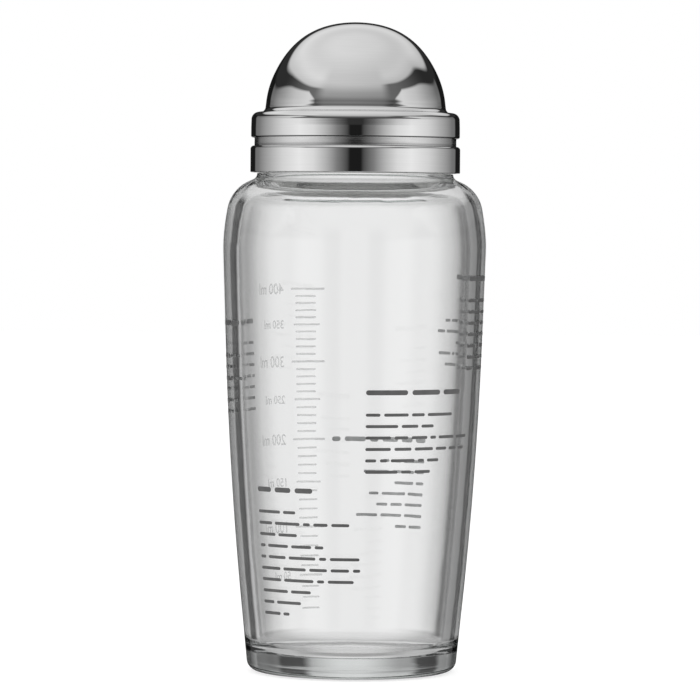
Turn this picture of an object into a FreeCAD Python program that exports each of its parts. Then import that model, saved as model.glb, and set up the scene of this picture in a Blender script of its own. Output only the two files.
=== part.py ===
import FreeCAD, Part
import math
import os
import re
import Sketcher

# A salad dressing shaker: a glass bottle, a pouring top held down by a screwed steel collar, and a
# domed steel cap that pulls off the pouring top. Millimetres, +Z up, origin at the centre of the base.
# The screw thread is right-handed: the collar rises as it turns anticlockwise, seen from above.

SIZES = {
    # Glass body, from the neck outwards and from the table upwards.
    "shoulder_width": 8.35,
    "shoulder_inset": 2.35,
    "upper_taper": 2.55,
    "lower_taper": 6.25,
    "side_bend_height": 62.0,
    "widest_rise": 75.5,
    "shoulder_rise": 14.6,
    "shoulder_slope": 3.8,
    "base_rounding": 3.5,
    "side_blend": 0.67,
    "upper_rounding": 60.0,
    "shoulder_rounding": 11.5,
    "neck_rounding": 2.0,
    "glass_wall": 4.7,
    "base_thickness": 6.5,
    "inner_floor_rounding": 5.0,
    "inner_shoulder_drop": 3.0,
    "inner_neck_drop": 2.6,
    "standing_ring": 7.9,
    "punt_depth": 1.2,
    # Glass neck: the finish that takes the thread, the bead below it and the rim.
    "finish_radius": 28.6,
    "finish_wall": 2.6,
    "bead_depth": 2.4,
    "bead_height": 1.4,
    "rim_rounding": 0.6,
    "rim_margin": 1.6,
    # Screw thread on the neck and in the ring.
    "thread_pitch": 3.5,
    "thread_depth": 1.2,
    "thread_root": 1.7,
    "thread_crest": 0.8,
    "thread_bury": 0.2,
    "neck_turns": 1.25,
    "ring_turns": 1.0,
    "thread_clearance": 0.3,
    # Screwed collar: a steel shell pressed over a threaded plastic ring.
    "sheet": 0.8,
    "press_gap": 0.05,
    "ring_wall": 2.2,
    "ring_lift": 0.8,
    "skirt_overhang": 0.6,
    "band_height": 8.4,
    "band_rounding": 1.0,
    "sleeve_inset": 1.25,
    "lip_width": 1.7,
    "edge_rounding": 0.3,
    "running_gap": 0.3,
    "lift_gap": 0.2,
    # Pouring top: plate, spout, centring ring and the wall that carries the grip ring.
    "gasket_thickness": 1.2,
    "gasket_inset": 0.4,
    "plate_thickness": 1.4,
    "plate_play": 0.1,
    "centring_gap": 0.4,
    "centring_depth": 2.5,
    "moulding_wall": 1.4,
    "ring_bead_width": 0.8,
    "ring_bead_height": 0.8,
    "grip_gap": 0.1,
    "spout_bore": 14.0,
    "spout_wall": 1.6,
    "spout_height": 13.8,
    "spout_lip_width": 2.2,
    "spout_lip_height": 1.6,
    "spout_lip_slope": 2.2,
    "spout_rounding": 0.6,
    "foot_rounding": 1.4,
    # Cap: drawn steel shell, plastic liner bonded under its ledge, silicone plug on the liner.
    "cap_gap": 0.3,
    "dome_inset": 4.5,
    "cap_band_height": 8.1,
    "cap_rounding": 2.5,
    "foot_share": 0.8,
    "foot_reach": 1.3,
    "liner_flange": 1.05,
    "liner_wall": 1.2,
    "liner_step": 0.7,
    "liner_clearance": 2.2,
    "plug_flange": 2.0,
    "plug_flange_inset": 1.2,
    "plug_depth": 3.0,
    "plug_gap": 0.3,
    "plug_dish": 1.2,
    "plug_dish_rim": 2.5,
    "stud_radius": 3.0,
    "stud_head_width": 1.6,
    "stud_head_height": 1.6,
}

# Radii that follow from the sizes.
NECK_RADIUS = "(finish_radius + bead_depth)"
SHOULDER_RADIUS = f"({NECK_RADIUS} + shoulder_width)"
WIDEST_RADIUS = f"({SHOULDER_RADIUS} + shoulder_inset)"
SIDE_RADIUS = f"({WIDEST_RADIUS} - upper_taper)"
BASE_RADIUS = f"({SIDE_RADIUS} - lower_taper)"
PUNT_RADIUS = f"({BASE_RADIUS} - standing_ring)"
BORE_RADIUS = "(finish_radius - finish_wall)"
NECK_CREST = "(finish_radius + thread_depth)"
RING_BORE = f"({NECK_CREST} + thread_clearance)"
RING_CREST = "(finish_radius + thread_clearance)"
RING_OUTER = f"({RING_BORE} + ring_wall)"
SKIRT_INNER = f"({RING_OUTER} + press_gap)"
SKIRT_OUTER = f"({SKIRT_INNER} + sheet)"
SLEEVE_OUTER = f"({SKIRT_OUTER} - sleeve_inset)"
SLEEVE_INNER = f"({SLEEVE_OUTER} - sheet)"
LIP_RADIUS = f"({SLEEVE_INNER} - lip_width)"
PLATE_RADIUS = f"({SLEEVE_INNER} - running_gap)"
CENTRING_OUTER = f"({BORE_RADIUS} - centring_gap)"
CENTRING_INNER = f"({CENTRING_OUTER} - moulding_wall)"
RIM_WALL_OUTER = f"({LIP_RADIUS} - running_gap)"
RIM_WALL_INNER = f"({RIM_WALL_OUTER} - moulding_wall)"
RING_BEAD_RADIUS = f"({RIM_WALL_OUTER} + ring_bead_width)"
SPOUT_OUTER = "(spout_bore + spout_wall)"
SPOUT_LIP = f"({SPOUT_OUTER} + spout_lip_width)"
CAP_INNER = f"({SLEEVE_OUTER} + cap_gap)"
CAP_OUTER = f"({CAP_INNER} + sheet)"
CAP_INNER_ROUNDING = "(cap_rounding - sheet)"
DOME_RADIUS = f"({CAP_OUTER} - dome_inset)"
DOME_INNER = f"({DOME_RADIUS} - sheet)"
DOME_FOOT_ROUNDING = "(foot_share * (dome_inset - cap_rounding))"
DOME_FOOT = f"(foot_reach * {DOME_FOOT_ROUNDING})"
DOME_FOOT_RADIUS = f"sqrt({DOME_RADIUS} ^ 2 - {DOME_FOOT} ^ 2)"
LINER_RADIUS = f"({CAP_INNER} - {CAP_INNER_ROUNDING})"
LINER_BELL = f"({DOME_INNER} - liner_step)"
PLUG_RADIUS = "(spout_bore - plug_gap)"
PLUG_FLANGE_RADIUS = f"({SPOUT_LIP} - plug_flange_inset)"
LINER_TOP_RADIUS = f"({PLUG_FLANGE_RADIUS} + liner_clearance + liner_wall)"
STUD_HOLE = "(stud_radius + press_gap)"
STUD_HEAD = "(stud_radius + stud_head_width)"
GRIP_INNER = f"({RIM_WALL_OUTER} + press_gap)"
GRIP_SECTION = f"(({CAP_INNER} - grip_gap - {GRIP_INNER}) / 2)"

# The long curve of the side turns from the lower taper to the upper one, over a share of the lower side.
SIDE_TURN = "(atan(lower_taper / side_bend_height) - atan(upper_taper / widest_rise))"
SIDE_ROUNDING = f"(side_blend * side_bend_height / tan({SIDE_TURN} / 2))"

# Heights that follow from the sizes, from the table upwards.
WIDEST_HEIGHT = "(side_bend_height + widest_rise)"
SHOULDER_HEIGHT = f"({WIDEST_HEIGHT} + shoulder_rise)"
NECK_HEIGHT = f"({SHOULDER_HEIGHT} + shoulder_slope)"
BEAD_TOP = f"({NECK_HEIGHT} + bead_height)"
NECK_THREAD_START = f"({BEAD_TOP} + thread_pitch)"
RING_THREAD_START = f"({NECK_THREAD_START} - thread_pitch / 2)"
RIM_HEIGHT = f"({NECK_THREAD_START} + thread_pitch * neck_turns + rim_margin)"
RING_BOTTOM = f"({BEAD_TOP} + ring_lift)"
SKIRT_BOTTOM = f"({RING_BOTTOM} - skirt_overhang)"
BAND_TOP = f"({SKIRT_BOTTOM} + band_height)"
RING_STEP = f"({BAND_TOP} - sheet - press_gap)"
PLATE_BOTTOM = f"({RIM_HEIGHT} + gasket_thickness)"
RING_TOP = f"({PLATE_BOTTOM} - lift_gap)"
PLATE_TOP = f"({PLATE_BOTTOM} + plate_thickness)"
LIP_BOTTOM = f"({PLATE_TOP} + plate_play)"
LIP_TOP = f"({LIP_BOTTOM} + sheet)"
GRIP_BOTTOM = f"({LIP_TOP} + running_gap)"
GRIP_HEIGHT = f"({GRIP_BOTTOM} + {GRIP_SECTION})"
RING_BEAD_BOTTOM = f"({GRIP_HEIGHT} + {GRIP_SECTION} + running_gap)"
CAP_SEAT = f"({RING_BEAD_BOTTOM} + ring_bead_height)"
SPOUT_TOP = f"({PLATE_TOP} + spout_height)"
SPOUT_LIP_BOTTOM = f"({SPOUT_TOP} - spout_lip_height)"
SPOUT_FLARE = f"({SPOUT_LIP_BOTTOM} - spout_lip_slope)"
LEDGE_BOTTOM = f"({CAP_SEAT} + liner_flange + press_gap)"
LEDGE_TOP = f"({LEDGE_BOTTOM} + sheet)"
CAP_BOTTOM = f"({LEDGE_TOP} - cap_band_height)"
DOME_TOP = f"({LEDGE_TOP} + {DOME_RADIUS})"
LINER_PLATE = f"({SPOUT_TOP} + plug_flange)"
LINER_TOP = f"({LINER_PLATE} + liner_wall)"
STUD_NECK_TOP = f"({LINER_TOP} + press_gap)"
STUD_TOP = f"({STUD_NECK_TOP} + stud_head_height)"

ON_AXIS = "0"
ON_TABLE = "0"
AXIS_OF_SKETCH = -2
LINE_OF_SKETCH = -1
ORIGIN_OF_SKETCH = -1
POINT_ITSELF = 1
START = 1
END = 2
CENTRE = 3

doc = FreeCAD.newDocument("dressing_shaker")
sheet = doc.addObject("Spreadsheet::Sheet", "sizes")


def fill_sheet():
    """One row for each driving dimension: its name, and its value under an alias of that name."""
    for row, (name, value) in enumerate(SIZES.items(), start=1):
        sheet.set(f"A{row}", name)
        sheet.set(f"B{row}", str(value))
        sheet.setAlias(f"B{row}", name)
    doc.recompute()


def bound(text):
    """The same expression with each size read from the sheet."""
    names = "|".join(SIZES)
    return re.sub(rf"\b({names})\b", r"sizes.\1", text)


def value(text):
    """What an expression in sizes comes to now, in millimetres."""
    return float(sheet.evalExpression(text))


def pin(geometry, point, radius, height):
    """Rules that bind a point of a sketch to a radius and a height, each an expression in sizes."""
    rules = []
    places = (("DistanceX", radius, AXIS_OF_SKETCH), ("DistanceY", height, LINE_OF_SKETCH))
    for kind, text, axis in places:
        if text == ON_AXIS:
            rules.append((Sketcher.Constraint("PointOnObject", geometry, point, axis), None))
        else:
            ends = (ORIGIN_OF_SKETCH, POINT_ITSELF, geometry, point)
            rules.append((Sketcher.Constraint(kind, *ends, value(text)), text))
    return rules


def corner(radius, height, rounding=None, arc_next=False):
    """A corner of an outline: sharp, or rounded, or the start of an arc that is centred on the axis."""
    return {
        "radius": radius,
        "height": height,
        "rounding": rounding,
        "arc_next": arc_next,
        "at": FreeCAD.Vector(value(radius), value(height), 0),
    }


def rounding_points(before, here, after):
    """Where a rounded corner's arc leaves the two edges, and the middle of that arc."""
    back = (before["at"] - here["at"]).normalize()
    ahead = (after["at"] - here["at"]).normalize()
    half = back.getAngle(ahead) / 2
    radius = value(here["rounding"])
    reach = radius / math.tan(half)
    inward = (back + ahead).normalize()
    middle = here["at"] + inward * (radius / math.sin(half) - radius)
    return here["at"] + back * reach, middle, here["at"] + ahead * reach


def axis_arc_middle(start, end):
    """The middle of the short arc from start to end whose centre lies on the axis."""
    rise = end.y - start.y
    centre_height = (start.y + end.y) / 2 + (end.x**2 - start.x**2) / (2 * rise)
    centre = FreeCAD.Vector(0, centre_height, 0)
    halfway = ((start + end) / 2 - centre).normalize()
    return centre + halfway * (start - centre).Length


def outline_sketch(body, name, corners):
    """A closed outline in the XZ plane whose corners and roundings follow the sheet."""
    plane = next(item for item in body.Origin.OriginFeatures if item.Role == "XZ_Plane")
    sketch = body.newObject("Sketcher::SketchObject", name)
    sketch.AttachmentSupport = [(plane, "")]
    sketch.MapMode = "FlatFace"
    count = len(corners)
    trims = {}
    for index, here in enumerate(corners):
        if here["rounding"]:
            trims[index] = rounding_points(corners[index - 1], here, corners[(index + 1) % count])
    edges = []
    for index, here in enumerate(corners):
        following = (index + 1) % count
        start = trims[index][2] if index in trims else here["at"]
        end = trims[following][0] if following in trims else corners[following]["at"]
        if here["arc_next"]:
            edges.append(add_arc(sketch, start, axis_arc_middle(start, end), end))
        else:
            edges.append((sketch.addGeometry(Part.LineSegment(start, end), False), START, END))
    rules = []
    for index, here in enumerate(corners):
        into, _, into_end = edges[index - 1]
        out_of, out_start, _ = edges[index]
        if index in trims:
            rules += round_corner(sketch, here, into, out_of, trims[index])
        else:
            rules.append((Sketcher.Constraint("Coincident", into, into_end, out_of, out_start), None))
            rules += pin(out_of, out_start, here["radius"], here["height"])
        if here["arc_next"]:
            rules.append((Sketcher.Constraint("PointOnObject", out_of, CENTRE, AXIS_OF_SKETCH), None))
    places = sketch.addConstraint([rule for rule, _ in rules])
    for place, (_, text) in zip(places, rules):
        if text:
            sketch.setExpression(f"Constraints[{place}]", bound(text))
    return sketch


def add_arc(sketch, start, middle, end):
    """An arc laid anticlockwise, with the names of its ends in the order of the outline."""
    clockwise = (middle - start).cross(end - middle).z < 0
    if clockwise:
        return sketch.addGeometry(Part.Arc(end, middle, start), False), END, START
    return sketch.addGeometry(Part.Arc(start, middle, end), False), START, END


def round_corner(sketch, here, into, out_of, points):
    """An arc tangent to both edges of a corner, which stays marked by a construction point."""
    arc, first, last = add_arc(sketch, *points)
    mark = sketch.addGeometry(Part.Point(here["at"]), True)
    return [
        (Sketcher.Constraint("Tangent", into, END, arc, first), None),
        (Sketcher.Constraint("Tangent", out_of, START, arc, last), None),
        (Sketcher.Constraint("Radius", arc, value(here["rounding"])), here["rounding"]),
        *pin(mark, POINT_ITSELF, here["radius"], here["height"]),
        (Sketcher.Constraint("PointOnObject", mark, POINT_ITSELF, into), None),
        (Sketcher.Constraint("PointOnObject", mark, POINT_ITSELF, out_of), None),
    ]


def turned_body(name, corners):
    """A body of revolution about the Z axis."""
    body = doc.addObject("PartDesign::Body", name)
    body.Label = name
    sketch = outline_sketch(body, f"{name}_outline", corners)
    turned = body.newObject("PartDesign::Revolution", f"{name}_turned")
    turned.Profile = sketch
    turned.ReferenceAxis = (sketch, ["V_Axis"])
    turned.Angle = 360
    doc.recompute()
    return body


def add_thread(body, root_radius, crest_radius, start_height, turns):
    """A helical rib of trapezoid section, from root_radius to crest_radius, wound up the body."""
    sections = (
        (root_radius, f"({start_height} - thread_root / 2)"),
        (crest_radius, f"({start_height} - thread_crest / 2)"),
        (crest_radius, f"({start_height} + thread_crest / 2)"),
        (root_radius, f"({start_height} + thread_root / 2)"),
    )
    rib = outline_sketch(body, f"{body.Name}_rib", [corner(*section) for section in sections])
    thread = body.newObject("PartDesign::AdditiveHelix", f"{body.Name}_thread")
    thread.Profile = rib
    thread.ReferenceAxis = (rib, ["V_Axis"])
    thread.Mode = "pitch-turns-angle"
    thread.Angle = 0
    thread.setExpression("Pitch", bound("thread_pitch"))
    thread.setExpression("Turns", bound(turns))
    doc.recompute()


def glass_bottle():
    """Thick glass with a tapering side, a rounded shoulder and a threaded neck."""
    side_inner = f"({SIDE_RADIUS} - glass_wall)"
    floor_corner = f"({BASE_RADIUS} - glass_wall + lower_taper * base_thickness / side_bend_height)"
    inner_shoulder = f"({SHOULDER_HEIGHT} - inner_shoulder_drop)"
    inner_neck = f"({NECK_HEIGHT} - inner_neck_drop)"
    body = turned_body("glass_bottle", [
        corner(ON_AXIS, "punt_depth", arc_next=True),
        corner(PUNT_RADIUS, ON_TABLE),
        corner(BASE_RADIUS, ON_TABLE, "base_rounding"),
        corner(SIDE_RADIUS, "side_bend_height", SIDE_ROUNDING),
        corner(WIDEST_RADIUS, WIDEST_HEIGHT, "upper_rounding"),
        corner(SHOULDER_RADIUS, SHOULDER_HEIGHT, "shoulder_rounding"),
        corner(NECK_RADIUS, NECK_HEIGHT, "neck_rounding"),
        corner(NECK_RADIUS, BEAD_TOP, "rim_rounding"),
        corner("finish_radius", BEAD_TOP),
        corner("finish_radius", RIM_HEIGHT, "rim_rounding"),
        corner(BORE_RADIUS, RIM_HEIGHT, "rim_rounding"),
        corner(BORE_RADIUS, inner_neck, "(neck_rounding + glass_wall)"),
        corner(f"({SHOULDER_RADIUS} - glass_wall)", inner_shoulder, "(shoulder_rounding - glass_wall)"),
        corner(f"({WIDEST_RADIUS} - glass_wall)", WIDEST_HEIGHT, "(upper_rounding - glass_wall)"),
        corner(side_inner, "side_bend_height", f"({SIDE_ROUNDING} - glass_wall)"),
        corner(floor_corner, "base_thickness", "inner_floor_rounding"),
        corner(ON_AXIS, "base_thickness"),
    ])
    add_thread(body, "(finish_radius - thread_bury)", NECK_CREST, NECK_THREAD_START, "neck_turns")
    return body


def rim_gasket():
    """Flat silicone ring between the glass rim and the pouring top."""
    inner = f"({CENTRING_OUTER} + grip_gap)"
    outer = "(finish_radius - gasket_inset)"
    return turned_body("rim_gasket", [
        corner(inner, RIM_HEIGHT),
        corner(outer, RIM_HEIGHT),
        corner(outer, PLATE_BOTTOM),
        corner(inner, PLATE_BOTTOM),
    ])


def thread_ring():
    """Moulded ring inside the collar: threaded below, stepped in to carry the pouring top above."""
    upper_outer = f"({SLEEVE_INNER} - press_gap)"
    body = turned_body("thread_ring", [
        corner(RING_BORE, RING_BOTTOM, "edge_rounding"),
        corner(RING_OUTER, RING_BOTTOM, "edge_rounding"),
        corner(RING_OUTER, RING_STEP),
        corner(upper_outer, RING_STEP),
        corner(upper_outer, RING_TOP),
        corner(RING_BORE, RING_TOP),
    ])
    add_thread(body, f"({RING_BORE} + thread_bury)", RING_CREST, RING_THREAD_START, "ring_turns")
    return body


def collar_shell():
    """Drawn steel collar: the lower band, a step in to the sleeve, and a lip over the pouring top."""
    return turned_body("collar_shell", [
        corner(SKIRT_INNER, SKIRT_BOTTOM, "edge_rounding"),
        corner(SKIRT_OUTER, SKIRT_BOTTOM, "edge_rounding"),
        corner(SKIRT_OUTER, BAND_TOP, "band_rounding"),
        corner(SLEEVE_OUTER, BAND_TOP),
        corner(SLEEVE_OUTER, LIP_TOP, "edge_rounding"),
        corner(LIP_RADIUS, LIP_TOP, "edge_rounding"),
        corner(LIP_RADIUS, LIP_BOTTOM, "edge_rounding"),
        corner(SLEEVE_INNER, LIP_BOTTOM),
        corner(SLEEVE_INNER, f"({BAND_TOP} - sheet)"),
        corner(SKIRT_INNER, f"({BAND_TOP} - sheet)"),
    ])


def pour_insert():
    """Moulded pouring top: plate, flared spout, ring that fits the mouth, wall for the grip ring."""
    centring_bottom = f"({RIM_HEIGHT} - centring_depth)"
    return turned_body("pour_insert", [
        corner("spout_bore", PLATE_BOTTOM, "spout_rounding"),
        corner(CENTRING_INNER, PLATE_BOTTOM),
        corner(CENTRING_INNER, centring_bottom),
        corner(CENTRING_OUTER, centring_bottom),
        corner(CENTRING_OUTER, PLATE_BOTTOM),
        corner(PLATE_RADIUS, PLATE_BOTTOM),
        corner(PLATE_RADIUS, PLATE_TOP),
        corner(RIM_WALL_OUTER, PLATE_TOP),
        corner(RIM_WALL_OUTER, RING_BEAD_BOTTOM),
        corner(RING_BEAD_RADIUS, RING_BEAD_BOTTOM),
        corner(RING_BEAD_RADIUS, CAP_SEAT, "edge_rounding"),
        corner(RIM_WALL_INNER, CAP_SEAT, "edge_rounding"),
        corner(RIM_WALL_INNER, PLATE_TOP, "foot_rounding"),
        corner(SPOUT_OUTER, PLATE_TOP, "foot_rounding"),
        corner(SPOUT_OUTER, SPOUT_FLARE, "foot_rounding"),
        corner(SPOUT_LIP, SPOUT_LIP_BOTTOM, "spout_rounding"),
        corner(SPOUT_LIP, SPOUT_TOP, "spout_rounding"),
        corner("spout_bore", SPOUT_TOP, "spout_rounding"),
    ])


def grip_ring():
    """Round silicone ring on the pouring top's wall, which holds the cap by friction."""
    ring = doc.addObject("Part::Torus", "grip_ring")
    ring.Label = "grip_ring"
    ring.setExpression("Radius1", bound(f"{GRIP_INNER} + {GRIP_SECTION}"))
    ring.setExpression("Radius2", bound(GRIP_SECTION))
    ring.setExpression(".Placement.Base.z", bound(GRIP_HEIGHT))
    return ring


def cap_shell():
    """Drawn steel cap: a band, a flat ledge, and a hemispherical dome with a hollow rounding at its foot."""
    return turned_body("cap_shell", [
        corner(CAP_INNER, CAP_BOTTOM, "edge_rounding"),
        corner(CAP_OUTER, CAP_BOTTOM, "edge_rounding"),
        corner(CAP_OUTER, LEDGE_TOP, "cap_rounding"),
        corner(DOME_RADIUS, LEDGE_TOP, DOME_FOOT_ROUNDING),
        corner(DOME_FOOT_RADIUS, f"({LEDGE_TOP} + {DOME_FOOT})", arc_next=True),
        corner(ON_AXIS, DOME_TOP),
        corner(ON_AXIS, f"({DOME_TOP} - sheet)", arc_next=True),
        corner(DOME_INNER, LEDGE_TOP),
        corner(DOME_INNER, LEDGE_BOTTOM),
        corner(CAP_INNER, LEDGE_BOTTOM, CAP_INNER_ROUNDING),
    ])


def cap_liner():
    """Moulded bell inside the cap: its flange sits under the ledge, its flat top carries the plug."""
    bell_inner = f"({LINER_BELL} - liner_wall)"
    return turned_body("cap_liner", [
        corner(bell_inner, CAP_SEAT, "edge_rounding"),
        corner(LINER_RADIUS, CAP_SEAT, "edge_rounding"),
        corner(LINER_RADIUS, f"({CAP_SEAT} + liner_flange)", "edge_rounding"),
        corner(LINER_BELL, f"({CAP_SEAT} + liner_flange)"),
        corner(LINER_TOP_RADIUS, LINER_TOP, "liner_wall"),
        corner(STUD_HOLE, LINER_TOP),
        corner(STUD_HOLE, LINER_PLATE),
        corner(f"({LINER_TOP_RADIUS} - liner_wall)", LINER_PLATE),
    ])


def spout_plug():
    """Silicone plug: a flange on the spout's lip, a dished plug in its bore and a stud in the liner."""
    plug_bottom = f"({SPOUT_TOP} - plug_depth)"
    dish_radius = f"({PLUG_RADIUS} - plug_dish_rim)"
    dish_height = f"({plug_bottom} + plug_dish)"
    return turned_body("spout_plug", [
        corner(ON_AXIS, dish_height),
        corner(dish_radius, dish_height),
        corner(dish_radius, plug_bottom, "edge_rounding"),
        corner(PLUG_RADIUS, plug_bottom, "edge_rounding"),
        corner(PLUG_RADIUS, SPOUT_TOP),
        corner(PLUG_FLANGE_RADIUS, SPOUT_TOP, "edge_rounding"),
        corner(PLUG_FLANGE_RADIUS, LINER_PLATE, "edge_rounding"),
        corner("stud_radius", LINER_PLATE),
        corner("stud_radius", STUD_NECK_TOP),
        corner(STUD_HEAD, STUD_NECK_TOP, "edge_rounding"),
        corner(STUD_HEAD, STUD_TOP, "edge_rounding"),
        corner(ON_AXIS, STUD_TOP),
    ])


def check(pieces):
    """Stop if any object of the document failed, or a piece is empty, broken or not one solid."""
    for item in doc.Objects:
        if "Invalid" in item.State or "Error" in item.State:
            raise RuntimeError(f"{item.Name} failed: {item.State}")
    for piece in pieces:
        if piece.Shape.isNull() or not piece.Shape.isValid() or len(piece.Shape.Solids) != 1:
            raise RuntimeError(f"{piece.Label} is not one valid solid")


fill_sheet()
makers = (
    glass_bottle,
    rim_gasket,
    thread_ring,
    collar_shell,
    pour_insert,
    grip_ring,
    cap_shell,
    cap_liner,
    spout_plug,
)
pieces = [make() for make in makers]
doc.recompute()
check(pieces)
os.makedirs("parts", exist_ok=True)
for piece in pieces:
    piece.Shape.exportStep(f"parts/{piece.Label}.step")
    box = piece.Shape.optimalBoundingBox()
    volume = piece.Shape.Volume / 1000
    print(f"{piece.Label}: z {box.ZMin:.2f} to {box.ZMax:.2f}, radius {box.XMax:.2f}, {volume:.2f} ml")
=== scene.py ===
# %% [markdown]
# # A salad dressing shaker
#
# The shaker is a thick glass bottle under a polished steel collar and a domed steel cap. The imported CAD
# model comes in first as a fixed frame, so every piece below is drawn in metres where the CAD says it is.

import bmesh
import bpy
import numpy as np
from mathutils import Matrix, Vector


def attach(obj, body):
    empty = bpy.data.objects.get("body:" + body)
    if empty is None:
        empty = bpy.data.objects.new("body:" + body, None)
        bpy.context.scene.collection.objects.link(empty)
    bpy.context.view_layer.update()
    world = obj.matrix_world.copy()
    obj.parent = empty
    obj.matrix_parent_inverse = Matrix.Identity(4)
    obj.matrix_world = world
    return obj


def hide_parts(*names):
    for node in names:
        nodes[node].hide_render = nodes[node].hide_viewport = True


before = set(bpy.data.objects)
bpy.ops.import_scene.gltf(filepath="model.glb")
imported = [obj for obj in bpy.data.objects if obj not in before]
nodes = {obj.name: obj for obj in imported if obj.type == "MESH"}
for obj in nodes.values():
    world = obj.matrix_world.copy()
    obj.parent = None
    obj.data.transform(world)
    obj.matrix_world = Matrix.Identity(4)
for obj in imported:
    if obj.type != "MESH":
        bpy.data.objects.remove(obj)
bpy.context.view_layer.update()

MM = 0.001
print("CAD nodes:", ", ".join(sorted(nodes)))

# %% [markdown]
# ## Outlines and turned surfaces
#
# Glass, collar and cap are all round, so each could be a Screw modifier on a curve. Here the turned
# surface is worked out directly instead: the rounded outline is one array, and the mesh is that array
# carried round the axis. That leaves every edge rounding as fine as the reflections need.

# %% rounded outlines
def unit(vector):
    """A vector of length one in the same direction."""
    return vector / np.linalg.norm(vector)


def rounded(corners, degrees=6.0, longest=2.5):
    """Radius and height, in millimetres, along an outline given as (radius, height, rounding).

    The circle in a rounded corner touches both edges, so its centre lies on their bisector, at the
    rounding divided by the sine of half the angle between them. The arc turns steadily from one touching
    point to the other, in steps no larger than the given angle and length."""
    points = np.array([corner[:2] for corner in corners], float)
    runs = []
    for here, before, after, corner in zip(points, np.roll(points, 1, 0), np.roll(points, -1, 0), corners):
        rounding = corner[2]
        if not rounding:
            runs.append(here[None])
            continue
        back = unit(before - here)
        ahead = unit(after - here)
        half = np.arccos(back @ ahead) / 2
        turn = np.pi - 2 * half
        centre = here + unit(back + ahead) * rounding / np.sin(half)
        first = here + back * rounding / np.tan(half) - centre
        last = here + ahead * rounding / np.tan(half) - centre
        steps = int(max(np.degrees(turn) / degrees, rounding * turn / longest)) + 2
        share = np.linspace(0, 1, steps)[:, None]
        swing = first * np.sin((1 - share) * turn) + last * np.sin(share * turn)
        runs.append(centre + swing / np.sin(turn))
    return np.concatenate(runs)


def finer(outline, longest):
    """The same outline with points added on its straight parts, at equal steps of its length."""
    lengths = np.linalg.norm(np.diff(outline, axis=0), axis=1)
    along = np.concatenate([[0], np.cumsum(lengths)])
    added = np.arange(longest / 2, along[-1], longest)
    clear = np.abs(added[:, None] - along).min(1) > longest / 4
    places = np.sort(np.concatenate([along, added[clear]]))
    return np.column_stack([np.interp(places, along, column) for column in outline.T])


# %% turned meshes
SHARP_EDGE = np.radians(40)


def smooth_object(name, points, faces):
    """An object at the origin from points in metres, smooth except across sharp corners."""
    mesh = bpy.data.meshes.new(name)
    mesh.from_pydata(points, [], faces)
    mesh.shade_smooth()
    mesh.set_sharp_from_angle(angle=SHARP_EDGE)
    mesh.validate()
    piece = bpy.data.objects.new(name, mesh)
    bpy.context.scene.collection.objects.link(piece)
    print(f"{name}: {len(mesh.vertices)} points, {len(mesh.polygons)} faces")
    return piece


def turned(name, outline, segments, closed, swell=None):
    """Carries an outline round the Z axis: the point (r, z) at turn t becomes (r cos t, r sin t, z).

    The outline has the material on its left. It is a closed loop, or it runs from the axis to the axis,
    and then each end is one pole. swell(t, r, z) may add to the radius."""
    rings = outline if closed else outline[1:-1]
    t = np.linspace(0, 2 * np.pi, segments, endpoint=False)[None]
    r = np.repeat(rings[:, :1], segments, 1)
    z = np.repeat(rings[:, 1:], segments, 1)
    if swell:
        r = r + swell(t, r, z)
    points = np.stack([r * np.cos(t), r * np.sin(t), z], -1).reshape(-1, 3)
    grid = np.arange(len(points)).reshape(len(rings), segments)
    beside = np.roll(grid, -1, 1)
    rows = slice(None) if closed else slice(0, -1)
    above = np.roll(grid, -1, 0)[rows]
    above_beside = np.roll(beside, -1, 0)[rows]
    faces = np.stack([grid[rows], beside[rows], above_beside, above], -1).reshape(-1, 4).tolist()
    if not closed:
        first, last = len(points), len(points) + 1
        ends = np.array([[0, 0, outline[0, 1]], [0, 0, outline[-1, 1]]])
        points = np.concatenate([points, ends])
        poles = np.full(segments, first)
        faces += np.stack([poles, beside[0], grid[0]], -1).tolist()
        faces += np.stack([grid[-1], beside[-1], poles + (last - first)], -1).tolist()
    return smooth_object(name, points * MM, faces)


# %% [markdown]
# ## The glass bottle
#
# The wall is almost 5 mm thick, and what makes it look like glass is that both its faces are there:
# light bends going in and again going out. So the outline runs up the outside, over the rim and down the
# inside. The screw thread on the neck is part of the same surface: it is a rib added to the radius.

# %% glass outline
PUNT_RADIUS = 25.0
PUNT_DEPTH = 1.2
PUNT_STEPS = 12
SIDE_BEND = 62.0
SHOULDER_FOOT = 137.5
BEAD_RADIUS = 31.0
BEAD_TOP = 157.3
FINISH_RADIUS = 28.6
FINISH_STEPS = 48
MOUTH_RADIUS = 26.0
RIM_HEIGHT = 166.775
RIM_ROUNDING = 0.6
FLOOR_HEIGHT = 6.5
FLOOR_RADIUS = 22.0
FLOOR_SWELL = 0.8
FLOOR_STEPS = 24
GLASS_STEP = 2.0

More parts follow.
